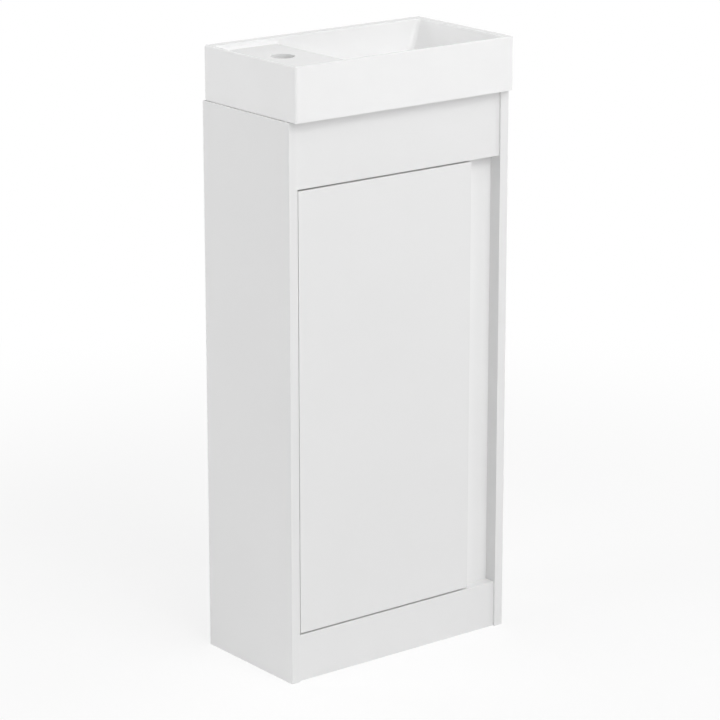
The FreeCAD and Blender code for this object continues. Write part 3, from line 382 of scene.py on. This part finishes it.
def spun_head():
    turns = [math.tau * segment / HEAD_SEGMENTS for segment in range(HEAD_SEGMENTS)]
    rings = [[(r * math.cos(turn), r * math.sin(turn), z) for turn in turns] for r, z in head_outline()]
    return closed_stack("pan_head", rings)


def tapered_blade(name, across):
    """A blade of the recess, along X or across it: wide at the head's top, narrow at the recess's floor."""
    levels = (
        (HEAD_HEIGHT - RECESS_DEPTH, RECESS_FLOOR_SHARE),
        (HEAD_HEIGHT + BLADE_OVERRUN, RECESS_MOUTH_SHARE),
    )
    rings = []
    for height, share in levels:
        ring = [(x * RECESS_LENGTH * share / 2, y * RECESS_WIDTH / 2) for x, y in CORNERS]
        rings.append([(-y, x, height) if across else (x, y, height) for x, y in ring])
    return closed_stack(name, rings)


def plain_mesh(piece, name):
    """The piece's mesh with its modifiers carried out."""
    graph = bpy.context.evaluated_depsgraph_get()
    mesh = bpy.data.meshes.new_from_object(piece.evaluated_get(graph))
    mesh.name = name
    return mesh


def make_screw_master():
    head = spun_head()
    blades = [tapered_blade("recess_along", False), tapered_blade("recess_across", True)]
    for blade in blades:
        cut = head.modifiers.new(blade.name, "BOOLEAN")
        cut.operation = "DIFFERENCE"
        cut.solver = "EXACT"
        cut.object = blade
    master = new_piece("screw_master", plain_mesh(head, "screw_master"))
    master.data.shade_smooth()
    master.data.set_sharp_from_angle(angle=SHARP_ANGLE)
    for tool in [head] + blades:
        bpy.data.objects.remove(tool)
    return master


screw = make_screw_master()
print("one screw head has", len(screw.data.polygons), "faces")

# %% [markdown]
# The hinges hold ten of these screws in three groups. Each could be a copy that is moved into place,
# but one piece that repeats is what Geometry Nodes are for. One tree sets a turned copy of the master
# on every point of a small mesh, makes the copies real and gives them their finish. The screw, its turn
# and its finish are named inputs, so the same tree serves the three groups.

# %% A tree that sets screws on their seats
def screw_tree():
    """A tree that sets a turned copy of the screw on each point of the mesh it is given."""
    tree = bpy.data.node_groups.new("screws_on_seats", "GeometryNodeTree")
    tree.interface.new_socket("Seats", in_out="INPUT", socket_type="NodeSocketGeometry")
    tree.interface.new_socket("Screw", in_out="INPUT", socket_type="NodeSocketObject")
    tree.interface.new_socket("Turn", in_out="INPUT", socket_type="NodeSocketVector")
    tree.interface.new_socket("Finish", in_out="INPUT", socket_type="NodeSocketMaterial")
    tree.interface.new_socket("Screws", in_out="OUTPUT", socket_type="NodeSocketGeometry")
    inputs = add_node(tree, "NodeGroupInput").outputs
    master = add_node(tree, "GeometryNodeObjectInfo", links={"Object": inputs["Screw"]})
    placed = add_node(
        tree,
        "GeometryNodeInstanceOnPoints",
        links={
            "Points": inputs["Seats"],
            "Instance": master.outputs["Geometry"],
            "Rotation": inputs["Turn"],
        },
    )
    real = add_node(tree, "GeometryNodeRealizeInstances", links={"Geometry": placed.outputs["Instances"]})
    dressed = add_node(
        tree,
        "GeometryNodeSetMaterial",
        links={"Geometry": real.outputs["Geometry"], "Material": inputs["Finish"]},
    )
    add_node(tree, "NodeGroupOutput", links={"Screws": dressed.outputs["Geometry"]})
    return tree


SCREW_TREE = screw_tree()
print("made the tree", SCREW_TREE.name, "with", len(SCREW_TREE.nodes), "nodes")

# %% [markdown]
# Each group's seats are worked out from the boxes of the solids that its screws hold, so the heads stay
# in place if those solids change. The result is kept as a plain mesh, one for each group, because the
# tree's modifier needs the master, which is removed at the end.

# %% Screws on the hinges
CUP_SCREW_SPACING = 48 * MM
PLATE_SCREW_SPACING = 32 * MM
TO_RIGHT = (0.0, math.radians(90), 0.0)
TO_BACK = (math.radians(-90), 0.0, 0.0)


def middle(node_name):
    low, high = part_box(node_name)
    return (low + high) / 2


def set_screws(node_name, body, seats, turn):
    """Replaces a CAD node of screws by copies of the master on its seats."""
    mesh = bpy.data.meshes.new(node_name + "_seats")
    mesh.from_pydata(seats, [], [])
    holder = new_piece(node_name + "_seats", mesh)
    modifier = holder.modifiers.new("screws", "NODES")
    modifier.node_group = SCREW_TREE
    wanted = {"Screw": screw, "Turn": turn, "Finish": zinc_plate}
    for socket in SCREW_TREE.interface.items_tree:
        if socket.name in wanted:
            modifier[socket.identifier] = wanted[socket.name]
    piece = new_piece(node_name + "_pan_head", plain_mesh(holder, node_name + "_pan_head"))
    bpy.data.objects.remove(holder)
    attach(piece, body)
    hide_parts(node_name)
    print(node_name, "has", len(seats), "screws and", len(piece.data.polygons), "faces")


cup_seats = []
plate_seats = []
arm_seats = []
arm_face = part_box("hinge_arm_screws")[1].x - HEAD_HEIGHT
for level in ("lower", "upper"):
    plate = middle(f"hinge_plate_{level}")
    plate_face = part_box(f"hinge_plate_{level}")[1].x
    cup = middle(f"hinge_pin_{level}")
    flange_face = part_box(f"hinge_cup_{level}")[1].y
    arm_seats.append((arm_face, plate.y, plate.z))
    for side in (-0.5, 0.5):
        plate_seats.append((plate_face, plate.y, plate.z + side * PLATE_SCREW_SPACING))
        cup_seats.append((cup.x, flange_face, cup.z + side * CUP_SCREW_SPACING))
set_screws("hinge_plate_screws", "cabinet", plate_seats, TO_RIGHT)
set_screws("hinge_arm_screws", "cabinet", arm_seats, TO_RIGHT)
set_screws("hinge_cup_screws", "door_leaf", cup_seats, TO_BACK)
bpy.data.objects.remove(screw)

# %% [markdown]
# The studio is a white one. A white object on white shows its form only by slight differences in
# brightness between its faces, so the even light from the world is kept low and the lamps do the rest.
# The background has to look pure white without putting more light on the object, so the world and the
# floor show white only to rays from the camera, in reflections and through clear things.

# %% World
AMBIENT = 0.06
WHITE = (1.0, 1.0, 1.0, 1.0)


def seen_directly(tree):
    """One for rays from the camera, in reflections and through clear things; zero for light on things."""
    rays = add_node(tree, "ShaderNodeLightPath").outputs
    seen = rays["Is Camera Ray"]
    for kind in ("Is Glossy Ray", "Is Transmission Ray"):
        either = add_node(tree, "ShaderNodeMath", links={0: seen, 1: rays[kind]}, operation="MAXIMUM")
        seen = either.outputs["Value"]
    return seen


world = bpy.data.worlds.new("white_studio")
scene.world = world
world.use_nodes = True
tree = world.node_tree
tree.nodes.clear()
strength = add_node(
    tree, "ShaderNodeMapRange", {"To Min": AMBIENT, "To Max": 1.0}, {"Value": seen_directly(tree)}
)
sky = add_node(tree, "ShaderNodeBackground", {"Color": WHITE}, {"Strength": strength.outputs["Result"]})
add_node(tree, "ShaderNodeOutputWorld", links={"Surface": sky.outputs["Background"]})
print("world made, ambient level", AMBIENT)

# %% [markdown]
# A studio floor is a wide sheet of paper that runs on until nobody sees its end. A round sheet with a
# radius of 30 m does that here. Close to the object it keeps part of its own shading, which is what
# holds the shadow, and further out it fades into the white of the background, by the distance from the
# middle.

# %% Floor
FLOOR_RADIUS = 30.0
FLOOR_SEGMENTS = 64
SHADOW_SHARE = 0.2
FADE_START = 0.7
FADE_END = 1.8


def white_floor():
    material, tree, place = new_material("white_studio_floor")
    distance = add_node(tree, "ShaderNodeVectorMath", links={0: place}, operation="LENGTH").outputs["Value"]
    white_share = add_node(
        tree,
        "ShaderNodeMapRange",
        {"From Min": FADE_START, "From Max": FADE_END, "To Min": 1 - SHADOW_SHARE, "To Max": 1.0},
        {"Value": distance},
        interpolation_type="SMOOTHSTEP",
    ).outputs["Result"]
    share = add_node(
        tree, "ShaderNodeMath", links={0: white_share, 1: seen_directly(tree)}, operation="MULTIPLY"
    ).outputs["Value"]
    matt = add_node(tree, "ShaderNodeBsdfDiffuse", {"Color": linear("#FAFAFA")}).outputs["BSDF"]
    white = add_node(tree, "ShaderNodeEmission", {"Color": WHITE, "Strength": 1.0}).outputs["Emission"]
    mixed = add_node(tree, "ShaderNodeMixShader", links={0: share, 1: matt, 2: white})
    add_node(tree, "ShaderNodeOutputMaterial", links={"Surface": mixed.outputs["Shader"]})
    return material


floor_mesh = bpy.data.meshes.new("studio_floor")
sheet = bmesh.new()
bmesh.ops.create_circle(sheet, cap_ends=True, segments=FLOOR_SEGMENTS, radius=FLOOR_RADIUS)
sheet.to_mesh(floor_mesh)
sheet.free()
floor = new_piece("studio_floor", floor_mesh)
floor.data.materials.append(white_floor())
print("floor made,", FLOOR_RADIUS, "m in radius")

# %% [markdown]
# A softbox is a lamp behind a large sheet of white cloth, and Blender's area lamp is the same thing.
# The larger it is, the softer its shadows and the weaker its mirror image in the glaze; a small lamp or
# a sun would draw hard shadows that a studio picture of a white object doesn't have. Six of them stand
# in front, high in front, at both sides, behind and above. The two in front are the strongest, because
# the faces that look forward are the brightest in the photograph. Each one's strength was chosen by
# rendering the object with that lamp alone and adding the pictures up until most faces came close to
# the photograph's grey levels.

# %% Lamps
UPPER_CABINET = (0, 0, 0.6)
BASIN_RIM = (0, 0, 0.9)


def soft_lamp(name, place, aim, side, watts):
    light = bpy.data.lights.new(name, "AREA")
    light.shape = "SQUARE"
    light.size = side
    light.energy = watts
    lamp = bpy.data.objects.new(name, light)
    lamp.location = place
    lamp.rotation_mode = "QUATERNION"
    lamp.rotation_quaternion = (Vector(aim) - Vector(place)).to_track_quat("-Z", "Y")
    scene.collection.objects.link(lamp)


soft_lamp("front_softbox", (-0.3, -3.4, 2.8), UPPER_CABINET, 3.0, 66)
soft_lamp("high_front_softbox", (0.3, -2.6, 3.8), UPPER_CABINET, 2.8, 55)
soft_lamp("left_softbox", (-3.4, 0.9, 1.8), UPPER_CABINET, 2.4, 53)
soft_lamp("right_softbox", (3.15, -1.2, 1.8), UPPER_CABINET, 2.4, 35)
soft_lamp("back_softbox", (-0.8, 3.4, 1.8), UPPER_CABINET, 2.4, 40)
soft_lamp("top_softbox", (0.0, 0.0, 4.0), BASIN_RIM, 3.5, 11)

# %% [markdown]
# The camera stands in front and to the left, 1.7 m above the floor, and looks down on the basin with a
# long lens. The place, the two angles and the lens come from fitting the object's straight edges to the
# photograph with no shift of the lens, so that every other view of the object keeps it in the middle of
# the frame.

# %% Camera
IMAGE_SIDE = 720
FOCAL_PIXELS = 3105
SENSOR = 36.0
CAMERA_PLACE = (-2.7113, -3.4705, 1.7002)
CAMERA_YAW = math.radians(38.0)
CAMERA_PITCH = math.radians(16.05)

camera_data = bpy.data.cameras.new("camera")
camera_data.sensor_width = SENSOR
camera_data.lens = SENSOR * FOCAL_PIXELS / IMAGE_SIDE
camera = bpy.data.objects.new("camera", camera_data)
camera.location = CAMERA_PLACE
along_floor = math.cos(CAMERA_PITCH)
look = Vector((
    math.sin(CAMERA_YAW) * along_floor,
    math.cos(CAMERA_YAW) * along_floor,
    -math.sin(CAMERA_PITCH),
))
camera.rotation_mode = "QUATERNION"
camera.rotation_quaternion = look.to_track_quat("-Z", "Y")
scene.collection.objects.link(camera)
scene.camera = camera
scene.view_settings.view_transform = "Standard"
print("lens", round(camera_data.lens, 1), "mm")
